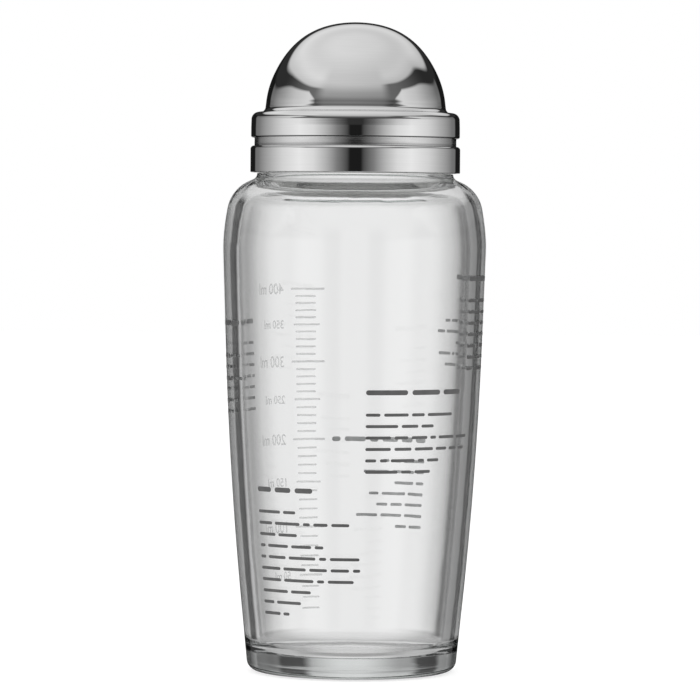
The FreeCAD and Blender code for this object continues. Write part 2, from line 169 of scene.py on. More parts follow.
punt_r = np.linspace(0, PUNT_RADIUS, PUNT_STEPS)
punt = np.column_stack([punt_r, PUNT_DEPTH * (1 - (punt_r / PUNT_RADIUS) ** 2)])
outside = rounded([
    (PUNT_RADIUS, 0.0, 0),
    (32.9, 0.0, 3.5),
    (39.15, SIDE_BEND, 1245),
    (41.69, SHOULDER_FOOT, 60),
    (39.35, 152.1, 11.5),
    (BEAD_RADIUS, 155.9, 2.0),
    (BEAD_RADIUS, BEAD_TOP, 0.6),
    (FINISH_RADIUS, BEAD_TOP, 0),
])
finish_z = np.linspace(BEAD_TOP + 0.2, RIM_HEIGHT - 0.7, FINISH_STEPS)
finish = np.column_stack([np.full(FINISH_STEPS, FINISH_RADIUS), finish_z])
rim = rounded([
    (FINISH_RADIUS, RIM_HEIGHT - 0.65, 0),
    (FINISH_RADIUS, RIM_HEIGHT, RIM_ROUNDING),
    (MOUTH_RADIUS, RIM_HEIGHT, RIM_ROUNDING),
    (MOUTH_RADIUS, RIM_HEIGHT - 1.0, 0),
])
inside = rounded([
    (MOUTH_RADIUS, RIM_HEIGHT - 1.5, 0),
    (MOUTH_RADIUS, 153.3, 6.7),
    (34.65, 149.1, 6.8),
    (37.0, SHOULDER_FOOT, 55.3),
    (34.45, SIDE_BEND, 1240.3),
    (28.855, FLOOR_HEIGHT, 5.0),
    (FLOOR_RADIUS, FLOOR_HEIGHT, 0),
])
# The inner floor swells towards the axis: a cosine squared of the share of its radius.
floor_r = np.linspace(FLOOR_RADIUS - 0.5, 0, FLOOR_STEPS)
floor_z = FLOOR_HEIGHT + FLOOR_SWELL * np.cos(np.pi / 2 * floor_r / FLOOR_RADIUS) ** 2
inside = np.concatenate([inside, np.column_stack([floor_r, floor_z])])
glass_outline = np.concatenate([
    punt[:-1], finer(outside, GLASS_STEP), finish, rim, finer(inside, GLASS_STEP),
])
print(f"glass outline: {len(glass_outline)} points, widest {glass_outline[:, 0].max():.2f} mm")

# %% glass thread
THREAD_START = 160.8
THREAD_PITCH = 3.5
THREAD_TURNS = 1.25
THREAD_DEPTH = 1.2
HALF_ROOT = 0.85
HALF_CREST = 0.4
RUN_OUT = 0.03


def neck_thread(t, r, z):
    """A rib wound up the neck: its middle rises one pitch a turn, its section is a trapezoid.

    How far the rib stands out falls from its full depth at the crest to nothing at the root, by the height
    above or below the middle, and fades at both ends of the winding."""
    windings = t / (2 * np.pi) + np.arange(2)[:, None, None]
    offset = np.abs(z - THREAD_START - THREAD_PITCH * windings)
    section = np.clip((HALF_ROOT - offset) / (HALF_ROOT - HALF_CREST), 0, 1)
    ends = np.clip(np.minimum(windings, THREAD_TURNS - windings) / RUN_OUT, 0, 1)
    on_finish = np.isclose(r, FINISH_RADIUS) & (z > BEAD_TOP)
    return np.where(on_finish, THREAD_DEPTH * (section * ends).max(0), 0)


GLASS_SEGMENTS = 192
bottle = turned("bottle_glass", glass_outline, GLASS_SEGMENTS, closed=False, swell=neck_thread)
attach(bottle, "bottle")
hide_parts("glass_bottle")

# %% [markdown]
# ## The steel collar and cap
#
# Both are drawn from sheet steel and polished, so they are mirrors: the eye reads them only by what they
# reflect. A thin shell with a Solidify modifier could stand for the sheet. Here each outline goes round the
# whole section of the sheet, because its rolled edges catch the light and its inner face shows when the cap
# is off. The real dome is a little fuller than half a ball, by half a millimetre a third of the way down.

# %% collar
STEEL_SEGMENTS = 256
SHEET = 0.8
COLLAR_RADIUS = 33.15
COLLAR_FOOT = 157.5
COLLAR_TOP = 165.9
SLEEVE_RADIUS = 31.9
SLEEVE_TOP = 170.275
LIP_RADIUS = 29.4
EDGE_ROUNDING = 0.3
COLLAR_STEP = 0.8

collar_corners = [
    (COLLAR_RADIUS - SHEET, COLLAR_FOOT, EDGE_ROUNDING),
    (COLLAR_RADIUS, COLLAR_FOOT, EDGE_ROUNDING),
    (COLLAR_RADIUS, COLLAR_TOP, 1.0),
    (SLEEVE_RADIUS, COLLAR_TOP, 0),
    (SLEEVE_RADIUS, SLEEVE_TOP, EDGE_ROUNDING),
    (LIP_RADIUS, SLEEVE_TOP, EDGE_ROUNDING),
    (LIP_RADIUS, SLEEVE_TOP - SHEET, EDGE_ROUNDING),
    (SLEEVE_RADIUS - SHEET, SLEEVE_TOP - SHEET, 0),
    (SLEEVE_RADIUS - SHEET, COLLAR_TOP - SHEET, 0),
    (COLLAR_RADIUS - SHEET, COLLAR_TOP - SHEET, 0),
]
collar_loop = rounded(collar_corners, degrees=9)
collar_outline = finer(np.concatenate([collar_loop, collar_loop[:1]]), COLLAR_STEP)[:-1]
collar = turned("steel_collar", collar_outline, STEEL_SEGMENTS, closed=True)
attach(collar, "collar")
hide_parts("collar_shell")

# %% cap
DOME_CENTRE = 176.525
DOME_RADIUS = 28.5
DOME_FULLNESS = 0.5
FULLNESS_END = np.radians(66)
INNER_END = np.radians(89)
OUTER_END = np.radians(86)
DOME_STEPS = 72
LEDGE_UNDERSIDE = DOME_CENTRE - SHEET
BAND_RADIUS = 33.0
BAND_FOOT = 168.425
CAP_STEP = 0.9


def dome(radius, angles):
    """A half ball with a slight fullness: on its radius is a bump, a sine squared of the angle from the top.

    The sine goes through half a turn from the top to the angle where the fullness ends."""
    bump = DOME_FULLNESS * np.sin(np.pi * np.clip(angles / FULLNESS_END, 0, 1)) ** 2
    reach = radius + bump
    return np.column_stack([reach * np.sin(angles), DOME_CENTRE + reach * np.cos(angles)])


dome_angles = np.linspace(0, INNER_END, DOME_STEPS)
inner_dome = dome(DOME_RADIUS - SHEET, dome_angles)
outer_dome = dome(DOME_RADIUS, dome_angles[dome_angles < OUTER_END])[::-1]
band = rounded([
    (DOME_RADIUS - SHEET, 176.4, 0),
    (DOME_RADIUS - SHEET, LEDGE_UNDERSIDE, 0),
    (BAND_RADIUS - SHEET, LEDGE_UNDERSIDE, 1.7),
    (BAND_RADIUS - SHEET, BAND_FOOT, 0.1),
    (BAND_RADIUS, BAND_FOOT, 0.65),
    (BAND_RADIUS, 171.6, 12),
    (32.85, DOME_CENTRE, 2.3),
    (DOME_RADIUS, DOME_CENTRE, 1.7),
    (DOME_RADIUS, DOME_CENTRE + 2.0, 0),
], degrees=4)
cap_outline = finer(np.concatenate([inner_dome, band[:-1], outer_dome]), CAP_STEP)
cap = turned("steel_cap", cap_outline, STEEL_SEGMENTS, closed=False)
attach(cap, "cap")
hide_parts("cap_shell")

# %% [markdown]
# ## What is printed on the glass
#
# A measuring scale is fired on the back of the bottle, to be read from behind, so from the front it shows
# through the glass, reversed. Its marks stand where the photograph shows them. The inside outline is also
# turned into volumes, and what the glass holds up to each mark is printed. Round the sides are blocks of
# lines, drawn as plain bars of uneven length, which from a distance give the grey of small print. An image on
# the glass could show all this. Here every bar and mark is a thin slab wrapped round the glass, so it stays
# sharp from close by and its underside can have a tone of its own, a paler one that is painted light.

# %% places on the glass
PRINT_GAP = 0.01
PRINT_FILM = 0.04
WALL_FOOT = 4.0
WALL_TOP = 150.0

side_wall = outside[(outside[:, 1] > WALL_FOOT) & (outside[:, 1] < WALL_TOP)]
print(f"the print lies {PRINT_GAP} to {PRINT_FILM} mm off the glass")


def glass_radius(height):
    """The glass's outer radius at a height, in millimetres."""
    return np.interp(height, side_wall[:, 1], side_wall[:, 0])


def on_glass(azimuth, height, lift):
    """Points outside the glass: azimuth in degrees to the right of the front, height and lift in mm."""
    reach = glass_radius(height) + lift
    angle = np.radians(azimuth)
    return np.stack(np.broadcast_arrays(reach * np.sin(angle), -reach * np.cos(angle), height), -1)


# %% bars wrapped round the glass
END_STEPS = 5
MIDDLE_STEPS = 4
ROUND_SHARE = 0.97


def wrapped_bars(bars):
    """Closed slabs on the glass, each given as (first azimuth, last azimuth, middle height, thickness).

    Both ends are half circles: at a share s of the way into an end, the half thickness is multiplied by the
    root of one minus s squared. The section is a rectangle from just off the glass to the film's outside."""
    first, last, middle, thick = np.array(bars, float).T[:, :, None]
    end = thick / (np.radians(last - first) * glass_radius(middle))
    arc = np.sin(np.linspace(0, ROUND_SHARE, END_STEPS) * np.pi / 2)[None]
    straight = np.linspace(-1, 1, MIDDLE_STEPS + 2)[None, 1:-1]
    right_end = 1 - end * (1 - arc)
    u = np.concatenate([-right_end[:, ::-1], straight * (1 - end), right_end], 1)
    into_end = np.concatenate([arc[:, ::-1], 0 * straight, arc], 1)
    half = thick / 2 * np.sqrt(1 - into_end**2)
    azimuth = (first + last) / 2 + (last - first) / 2 * u
    corners = [(-half, PRINT_GAP), (-half, PRINT_FILM), (half, PRINT_FILM), (half, PRINT_GAP)]
    points = np.stack([on_glass(azimuth, middle + rise, lift) for rise, lift in corners], 2)
    index = np.arange(points[..., 0].size).reshape(points.shape[:3])
    ahead = np.roll(index, -1, 2)
    sides = np.stack([index[:, :-1], index[:, 1:], ahead[:, 1:], ahead[:, :-1]], -1).reshape(-1, 4)
    caps = np.concatenate([index[:, 0], index[:, -1, ::-1]])
    return points.reshape(-1, 3), np.concatenate([sides, caps])


# %% volumes
VOLUME_STEP = 10
NUMBERED = np.arange(50, 401, 50)

# How high the marks stand: the lowest mark, then each number.
mark_volumes = np.array([20, *NUMBERED])
mark_heights = np.array([17.0, 27.6, 43.2, 57.7, 71.5, 84.4, 96.7, 108.7, 120.2])

hollow = inside[::-1]
wall = hollow[1:, 1] > FLOOR_HEIGHT + FLOOR_SWELL
slices = np.pi / 3 * np.diff(hollow[:, 1]) * (
    hollow[1:, 0] ** 2 + hollow[1:, 0] * hollow[:-1, 0] + hollow[:-1, 0] ** 2
)
held = np.interp(mark_heights, hollow[1:, 1][wall], np.cumsum(slices)[wall] / 1000)
print("up to its marks the glass holds", ", ".join(f"{volume:.0f}" for volume in held), "ml")

# %% scale marks
# From which azimuth to which each kind of mark reaches, and how thick it is.
HUNDREDS = (194.8, 213.4, 0.7)
FIFTIES = (197.2, 211.8, 0.65)
TENS = (199.4, 210.7, 0.6)

marks = np.arange(mark_volumes[0], mark_volumes[-1] + 1, VOLUME_STEP)
kind = np.where(marks % 100 == 0, 0, np.where(marks % 50 == 0, 1, 2))
starts, ends, thick = np.array([HUNDREDS, FIFTIES, TENS])[kind].T
mark_bars = np.column_stack([starts, ends, np.interp(marks, mark_volumes, mark_heights), thick])
scale_points, scale_faces = wrapped_bars(mark_bars)
print(f"{len(marks)} scale marks")

# %% scale numbers
NUMBER_AZIMUTH = 218.0
NUMBER_BOLD = 0.06
NUMBER_STEPS = 4
HUNDREDS_SIZE = 5.0
FIFTIES_SIZE = 3.9
WELD = 1e-6


def wrapped_number(label, size, azimuth, height):
    """A mesh of a plain number on the glass: across it becomes azimuth, up it height, its depth the film."""
    curve = bpy.data.curves.new("number", "FONT")
    curve.body = label
    curve.size = size
    curve.extrude = (PRINT_FILM - PRINT_GAP) / 2
    curve.resolution_u = NUMBER_STEPS
    curve.offset = NUMBER_BOLD
    shown = bpy.data.objects.new("number", curve)
    bpy.context.scene.collection.objects.link(shown)
    bpy.context.view_layer.update()
    mesh = bpy.data.meshes.new_from_object(shown.evaluated_get(bpy.context.evaluated_depsgraph_get()))
    flat = np.empty(len(mesh.vertices) * 3)
    mesh.vertices.foreach_get("co", flat)
    x, y, z = flat.reshape(-1, 3).T
    faces = [tuple(face.vertices) for face in mesh.polygons]
    bpy.data.objects.remove(shown)
    bpy.data.curves.remove(curve)
    bpy.data.meshes.remove(mesh)
    turn = np.degrees(x / glass_radius(height))
    lift = z + (PRINT_GAP + PRINT_FILM) / 2
    return on_glass(azimuth + turn, height + y - y.max() / 2, lift), faces


all_points = [scale_points]
all_faces = scale_faces.tolist()
count = len(scale_points)
for volume, height in zip(NUMBERED, mark_heights[1:]):
    size = HUNDREDS_SIZE if volume % 100 == 0 else FIFTIES_SIZE
    number_points, number_faces = wrapped_number(f"{volume} ml", size, NUMBER_AZIMUTH, height)
    all_faces += [[count + corner for corner in face] for face in number_faces]
    all_points.append(number_points)
    count += len(number_points)
scale = smooth_object("measuring_scale", np.concatenate(all_points) * MM, all_faces)
welder = bmesh.new()
welder.from_mesh(scale.data)
bmesh.ops.remove_doubles(welder, verts=welder.verts, dist=WELD)
bmesh.ops.recalc_face_normals(welder, faces=welder.faces)
welder.to_mesh(scale.data)
welder.free()
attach(scale, "bottle")

# %% bars along a line
SHORT_BAR = 2
LONG_BAR = 9
BAR_SEED = 7
draws = np.random.default_rng(BAR_SEED)


def line_of_bars(first, last, middle, pitch, thick):
    """Bars along a line between two azimuths, with a gap of one pitch after each.

    Their lengths are drawn at random, in steps of the pitch. The last bar that fits is cut off at the
    line's end."""
    to_degrees = np.degrees(pitch / glass_radius(middle))
    room = (last - first) / to_degrees
    lengths = draws.integers(SHORT_BAR, LONG_BAR, int(room), endpoint=True)
    ends = np.cumsum(lengths + 1) - 1
    starts = ends - lengths
    fits = starts + SHORT_BAR <= room
    spans = first + np.column_stack([starts, np.minimum(ends, room)]) * to_degrees
    return np.column_stack([spans, np.full(len(ends), middle), np.full(len(ends), thick)])[fits]


# %% printed lines
LINE_PITCH = 3.53
HEADING_GAP = 6.9
LINE_STEP = 1.15
LINE_THICK = 0.95
HEADING_STEP = 1.5
HEADING_THICK = 1.55

# Each block: first azimuth, height of its heading, azimuth where the heading ends, where each line ends.
blocks = {
    "lines_front_right": (5.5, 89.6, 55.5, (54.5, 39, 63, 61.5, 46.5, 38)),
    "lines_right": (60.5, 124.6, 115, (109, 104, 129, 132, 113, 135, 127)),
    "lines_back": (138, 71.5, 191, (164, 177, 159, 173, 167, 178, 161)),
    "lines_left": (245, 110.0, 297, (269, 291, 280, 298, 272, 285, 276)),
    "lines_front_left": (-50.5, 58.9, -18, (-28, -1.5, -22.5, -14, 8, 6, 1, -17.5, -26.5, -33.5)),
}

printed = []
for name, (first, top, heading_end, line_ends) in blocks.items():
    bars = [line_of_bars(first, heading_end, top, HEADING_STEP, HEADING_THICK)]
    for row, line_end in enumerate(line_ends):
        middle = top - HEADING_GAP - LINE_PITCH * row
        bars.append(line_of_bars(first, line_end, middle, LINE_STEP, LINE_THICK))
    block_points, block_faces = wrapped_bars(np.concatenate(bars))
    block = smooth_object(name, block_points * MM, block_faces.tolist())
    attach(block, "bottle")
    printed.append(block)

# %% [markdown]
# ## Finishes
#
# A few helpers keep the node trees short: one adds a node and links or sets its inputs, one puts Math nodes
# in a row, and one stretches a value from one range to another. Grain and clouding are used by several
# finishes, so they are one node group, placed in each material with its own scales.

# %% node helpers
def add(tree, kind, inputs=None, **settings):
    """A new node: settings go on the node, inputs are linked if they are sockets and set if they aren't."""
    node = tree.nodes.new(kind)
    for name, setting in settings.items():
        setattr(node, name, setting)
    for name, given in (inputs or {}).items():
        if isinstance(given, bpy.types.NodeSocket):
            tree.links.new(given, node.inputs[name])
        else:
            node.inputs[name].default_value = given
    return node


def calc(tree, operation, result, *others):
    """Math nodes in a row: the first value, and then each of the others put to it by the operation."""
    if not others:
        return add(tree, "ShaderNodeMath", {0: result}, operation=operation).outputs[0]
    for other in others:
        result = add(tree, "ShaderNodeMath", {0: result, 1: other}, operation=operation).outputs[0]
    return result


def times(tree, *values):
    """The values multiplied together."""
    return calc(tree, "MULTIPLY", *values)


def plus(tree, *values):
    """The values added together."""
    return calc(tree, "ADD", *values)


def largest(tree, *values):
    """The largest of the values."""
    return calc(tree, "MAXIMUM", *values)


def distance(tree, value, middle):
    """How far the value is from the middle, either way."""
    return calc(tree, "ABSOLUTE", calc(tree, "SUBTRACT", value, middle))


def stretch(tree, value, low, high, to_low=0.0, to_high=1.0, easing="SMOOTHSTEP"):
    """A value taken smoothly from one range to another, and held at the ends."""
    ends = {"Value": value, "From Min": low, "From Max": high, "To Min": to_low, "To Max": to_high}
    return add(tree, "ShaderNodeMapRange", ends, interpolation_type=easing).outputs["Result"]


def blend(tree, share, first, second):
    """The first value where the share is 0, the second where it is 1, and a mix of both between."""
    return stretch(tree, share, 0.0, 1.0, first, second, "LINEAR")


def between(tree, share, first, second):
    """A colour that goes from the first to the second with the share."""
    ramp = add(tree, "ShaderNodeValToRGB", {"Fac": share})
    ramp.color_ramp.elements[0].color = (*first, 1)
    ramp.color_ramp.elements[1].color = (*second, 1)
    return ramp.outputs["Color"]


def scaled(tree, vector, factors):
    """A vector with each of its parts multiplied by a factor."""
    return add(tree, "ShaderNodeVectorMath", {0: vector, 1: factors}, operation="MULTIPLY").outputs["Vector"]


LEVEL = (1.0, 1.0, 0.0)


def from_axis(tree, place):
    """How far a place is from the upright axis: the length of its level part."""
    level = scaled(tree, place, LEVEL)
    return add(tree, "ShaderNodeVectorMath", {0: level}, operation="LENGTH").outputs["Value"]


# %% materials
def new_finish(name):
    """A material, its node tree and its main shader."""
    material = bpy.data.materials.new(name)
    material.use_nodes = True
    return material, material.node_tree, material.node_tree.nodes["Principled BSDF"]


def lift(tree, shader, height, strength, depth):
    """A bump on the shader's normal."""
    bump = add(tree, "ShaderNodeBump", {"Height": height, "Strength": strength, "Distance": depth})
    tree.links.new(bump.outputs["Normal"], shader.inputs["Normal"])


def dress(piece, material):
    """Puts the material on every slot of a piece."""
    for slot in piece.material_slots:
        slot.material = material
    if not piece.material_slots:
        piece.data.materials.append(material)


# %% grain and clouding
GRAIN_SCALE = 900.0
CLOUD_SCALE = 60.0

grain = bpy.data.node_groups.new("grain_and_cloud", "ShaderNodeTree")
for label, default in (("Grain Scale", GRAIN_SCALE), ("Cloud Scale", CLOUD_SCALE)):
    socket = grain.interface.new_socket(label, in_out="INPUT", socket_type="NodeSocketFloat")
    socket.default_value = default
for label in ("Grain", "Cloud"):
    grain.interface.new_socket(label, in_out="OUTPUT", socket_type="NodeSocketFloat")
scales = add(grain, "NodeGroupInput")
results = add(grain, "NodeGroupOutput")
place = add(grain, "ShaderNodeTexCoord").outputs["Object"]
for label in ("Grain", "Cloud"):
    settings = {"Vector": place, "Scale": scales.outputs[f"{label} Scale"], "Detail": 3.0}
    noise = add(grain, "ShaderNodeTexNoise", settings)
    grain.links.new(noise.outputs["Fac"], results.inputs[label])
print("node group:", grain.name)


def grain_in(tree, grain_scale, cloud_scale):
    """The group placed in a material: its grain and its cloud, each about 0.5."""
    inputs = {"Grain Scale": grain_scale, "Cloud Scale": cloud_scale}
    node = add(tree, "ShaderNodeGroup", inputs, node_tree=grain)
    return node.outputs["Grain"], node.outputs["Cloud"]


# %% [markdown]
# The glass is clear, with a trace of grey in its thickness. A plain glass shader would leave its edges too
# pale on a white ground. So the tint is darker where a ray grazes the surface: partly that stands for the long
# way through a thick wall, and partly it is painted shade, which draws soft grey edges from every side. The
# edges are paler over the shoulder and near the table, and the solid base is greyer towards its sides, which is
# painted shade. In the numbers below, heights and radii are in metres, and facing is 0 where the surface looks
# straight at the ray and 1 where the ray only grazes it.

# %% glass tint
GLASS_IOR = 1.52
SHOULDER = (0.138, 0.15)

glass, tree, shader = new_finish("shaker_glass")
facing = add(tree, "ShaderNodeLayerWeight", {"Blend": 0.5}).outputs["Facing"]
place = add(tree, "ShaderNodeTexCoord").outputs["Object"]
height = add(tree, "ShaderNodeSeparateXYZ", {"Vector": place}).outputs["Z"]
# Partly painted shade: the tint darkens where a ray grazes the glass, less over the shoulder and near the table.
shoulder_edge = stretch(tree, height, *SHOULDER, 0.3, 0.55)
table_edge = stretch(tree, height, 0.008, 0.018, 0.6, 0.3)
edge_tint_and_painted_shade = largest(tree, shoulder_edge, table_edge)
thick_wall_and_painted_shade = stretch(tree, facing, 0.12, 0.85, 1.0, edge_tint_and_painted_shade)
outermost = stretch(tree, facing, 0.84, 0.96, 0.0, 0.9)
tint = largest(tree, thick_wall_and_painted_shade, outermost)

# Painted shade: round the solid base the tint greys from the middle towards the sides.
under_floor = stretch(tree, height, 0.0095, 0.0115, 1.0, 0.0)
over_heel = stretch(tree, height, 0.0016, 0.003)
on_outside = stretch(tree, from_axis(tree, place), 0.03, 0.0312)
on_base = times(tree, under_floor, over_heel, on_outside)
base_sides = stretch(tree, facing, 0.0, 0.14, 1.0, 0.36)
base_ends = stretch(tree, facing, 0.25, 0.5, 0.0, 0.65)
base_painted_shade = largest(tree, base_sides, base_ends)
tint = times(tree, tint, stretch(tree, on_base, 0.0, 1.0, 1.0, base_painted_shade))

tree.links.new(tint, shader.inputs["Base Color"])
shader.inputs["Roughness"].default_value = 0.0
shader.inputs["IOR"].default_value = GLASS_IOR
shader.inputs["Transmission Weight"].default_value = 1.0
print(f"{glass.name}: {len(tree.nodes)} nodes with the tint")

# %% [markdown]
# Pressed and fire-polished glass has slow waves in its surface. They are strongest round the neck and weak on
# the body, and the heel has fine level ripples instead. Shadow rays pass straight through, because a path
# tracer would otherwise leave a black shadow where real glass gathers light.

# %% glass surface and depth
WAVE_SCALE = 38.0
WAVE_STRENGTH = 0.5
WAVE_DEPTH = 0.0006
RIPPLE_SCALE = 1100.0
RIPPLE_STRETCH = (0.05, 0.05, 1.0)
SHADOW_TINT = (0.93, 0.94, 0.94, 1)
DEPTH_TINT = (0.62, 0.66, 0.65, 1)
DEPTH_DENSITY = 9.0

_, waves = grain_in(tree, GRAIN_SCALE, WAVE_SCALE)
waves = times(tree, waves, stretch(tree, height, *SHOULDER, 0.24, 1.0))
along = scaled(tree, place, RIPPLE_STRETCH)
settings = {"Vector": along, "Scale": RIPPLE_SCALE, "Detail": 1.0}
ripples = add(tree, "ShaderNodeTexNoise", settings).outputs["Fac"]
ripples = times(tree, ripples, stretch(tree, height, 0.007, 0.011, 0.05, 0.0))
lift(tree, shader, plus(tree, waves, ripples), WAVE_STRENGTH, WAVE_DEPTH)

output = tree.nodes["Material Output"]
is_shadow = add(tree, "ShaderNodeLightPath").outputs["Is Shadow Ray"]
see_through = add(tree, "ShaderNodeBsdfTransparent", {"Color": SHADOW_TINT})
either = {0: is_shadow, 1: shader.outputs[0], 2: see_through.outputs[0]}
mixed = add(tree, "ShaderNodeMixShader", either)
tree.links.new(mixed.outputs[0], output.inputs["Surface"])
thickness = add(tree, "ShaderNodeVolumeAbsorption", {"Color": DEPTH_TINT, "Density": DEPTH_DENSITY})
tree.links.new(thickness.outputs[0], output.inputs["Volume"])
dress(bottle, glass)
print(f"{glass.name}: {len(tree.nodes)} nodes")

# %% [markdown]
# The steel is polished nearly to a mirror. Polishing runs round the axis, so faint lines follow the radius
# and the height and hardly change with the angle. Broader clouds stand for the slight unevenness of polish.
# The polishing wheel doesn't reach into the groove between collar and cap, so it is duller there. Its colour
# there is darkened as painted shade, deepest at its foot. A fine dark line of painted shade follows the rolled
# lower edge of the cap.

# %% steel polish
POLISH_SCALE = 2600.0
POLISH_TURN = 0.0008
UNEVEN_SCALE = 45.0
POLISH_STRENGTH = 0.025
POLISH_DEPTH = 0.00002

steel, tree, shader = new_finish("shaker_steel")
place = add(tree, "ShaderNodeTexCoord").outputs["Object"]
x, y, z = add(tree, "ShaderNodeSeparateXYZ", {"Vector": place}).outputs
radius = from_axis(tree, place)
turn = times(tree, calc(tree, "ARCTAN2", y, x), POLISH_TURN)
around = add(tree, "ShaderNodeCombineXYZ", {"X": radius, "Y": turn, "Z": z}).outputs[0]
settings = {"Vector": around, "Scale": POLISH_SCALE, "Detail": 2.0}
lines = add(tree, "ShaderNodeTexNoise", settings).outputs["Fac"]
_, cloud = grain_in(tree, GRAIN_SCALE, UNEVEN_SCALE)
polish = plus(tree, stretch(tree, cloud, 0.3, 0.7, 0.012, 0.03), times(tree, lines, 0.012))
shader.inputs["Metallic"].default_value = 1.0
lift(tree, shader, lines, POLISH_STRENGTH, POLISH_DEPTH)
print(f"{steel.name}: {len(tree.nodes)} nodes with the polish")

# %% steel groove and edge, with painted shade
over_collar = stretch(tree, z, 0.1659, 0.1661)
under_cap = stretch(tree, z, 0.1702, 0.1704, 1.0, 0.0)
behind_bands = stretch(tree, radius, 0.0318, 0.032, 1.0, 0.0)
in_groove = times(tree, over_collar, behind_bands, under_cap)
rubbed = times(tree, in_groove, stretch(tree, lines, 0.35, 0.65, 0.24, 0.4))
tree.links.new(plus(tree, polish, rubbed), shader.inputs["Roughness"])

# Painted shade: the groove's colour darkens towards its foot, and a thin dark line runs along the cap's lower
# edge.
painted_seam_shade = stretch(tree, z, 0.1661, 0.1669, 0.12, 0.9)
groove_painted_shade = stretch(tree, in_groove, 0.0, 1.0, 1.0, painted_seam_shade)
cap_edge_painted_line = times(tree, stretch(tree, z, 0.16836, 0.16842), stretch(tree, z, 0.1686, 0.16895, 1.0, 0.0))
edge_painted_shade = stretch(tree, cap_edge_painted_line, 0.0, 1.0, 1.0, 0.25)
shade = times(tree, stretch(tree, lines, 0.2, 0.8, 0.71, 0.735), groove_painted_shade, edge_painted_shade)
tree.links.new(shade, shader.inputs["Base Color"])
dress(collar, steel)
dress(cap, steel)
print(f"{steel.name}: {len(tree.nodes)} nodes")

# %% [markdown]
# Mouldings, seals and print share the grain group. The mouldings are natural white plastic with a fine matt
# surface; the seals are milky silicone. The print is a fired enamel film, dark from outside. Its underside,
# which shows through the bottle, is given a paler tone, painted light for the light that reaches it through the
# glass. Which side a face is on is told by its normal: it points away from the axis or towards it.

# %% mouldings and seals
GRAIN_STRENGTH = 0.3


def moulded(name, tones, roughness, grain_scale, cloud_scale, depth):
    """A dull finish: clouds move its colour and roughness a little, and grain lifts its surface."""
    material, tree, shader = new_finish(name)
    fine, cloud = grain_in(tree, grain_scale, cloud_scale)
    tree.links.new(between(tree, cloud, *tones), shader.inputs["Base Color"])
    tree.links.new(stretch(tree, cloud, 0.3, 0.7, *roughness), shader.inputs["Roughness"])
    lift(tree, shader, fine, GRAIN_STRENGTH, depth)
    return material


plastic_tones = ((0.73, 0.73, 0.71), (0.8, 0.8, 0.78))
silicone_tones = ((0.72, 0.73, 0.75), (0.82, 0.83, 0.84))
plastic_grain = {"grain_scale": 2200.0, "cloud_scale": 90.0, "depth": 0.00004}
silicone_grain = {"grain_scale": 1500.0, "cloud_scale": 120.0, "depth": 0.00003}
moulding = moulded("shaker_moulding", plastic_tones, roughness=(0.36, 0.5), **plastic_grain)
silicone = moulded("shaker_silicone", silicone_tones, roughness=(0.3, 0.46), **silicone_grain)
print("dull finishes:", moulding.name, silicone.name)

# %% the film's two sides
film_side = bpy.data.node_groups.new("film_side", "ShaderNodeTree")
film_side.interface.new_socket("Outside", in_out="OUTPUT", socket_type="NodeSocketFloat")
coordinates = add(film_side, "ShaderNodeTexCoord").outputs
against = {0: coordinates["Normal"], 1: scaled(film_side, coordinates["Object"], LEVEL)}
outward = add(film_side, "ShaderNodeVectorMath", against, operation="DOT_PRODUCT").outputs["Value"]
add(film_side, "NodeGroupOutput", {"Outside": stretch(film_side, outward, -0.01, 0.01)})
print("node group:", film_side.name)

# %% print
ENAMEL_GRAIN = 6000.0
ENAMEL_CLOUD = 400.0


def fired_enamel(name, outside_tone, underside_painted_light, cover):
    """A grey film, with one tone on the faces that look away from the axis and another, painted light, on its
    underside.

    Each face covers what is behind it by the given share, so a light film lets some of it through."""
    material, tree, shader = new_finish(name)
    fine, cloud = grain_in(tree, ENAMEL_GRAIN, ENAMEL_CLOUD)
    side = add(tree, "ShaderNodeGroup", node_tree=film_side).outputs["Outside"]
    tone = stretch(tree, side, 0.0, 1.0, underside_painted_light, outside_tone)
    tone = times(tree, tone, stretch(tree, cloud, 0.3, 0.7, 0.88, 1.1))
    tree.links.new(tone, shader.inputs["Base Color"])
    tree.links.new(stretch(tree, fine, 0.3, 0.7, 0.34, 0.5), shader.inputs["Roughness"])
    shader.inputs["Alpha"].default_value = cover
    return material


# Painted light: the underside tone is paler, for the light that reaches the print through the glass.
enamel = fired_enamel("grey_enamel", outside_tone=0.075, underside_painted_light=0.6, cover=1.0)
scale_enamel = fired_enamel("scale_enamel", outside_tone=0.05, underside_painted_light=0.92, cover=0.33)
print("enamels:", enamel.name, scale_enamel.name)

# %% dressing the small pieces
for name in ("thread_ring", "pour_insert", "cap_liner"):
    dress(nodes[name], moulding)
for name in ("rim_gasket", "grip_ring", "spout_plug"):
    dress(nodes[name], silicone)
for block in printed:
    dress(block, enamel)
dress(scale, scale_enamel)
print("finishes:", ", ".join(sorted(material.name for material in bpy.data.materials if material.users)))

# %% [markdown]
# ## The studio
#
# Glass is drawn by its dark edges and steel by its reflections, so the surroundings matter more than the
# lamps. The camera and dull surfaces see plain white. Mirror rays see two large soft panels at the sides,
# one overhead, and dark gaps between them. Rays that come through glass see a white studio with dark uprights.

# %% floor
FLOOR_HALF = 4.0
FLOOR_DROP = 0.0003
FLOOR_CLOUD = 3.0
FLOOR_GLOW = 0.6

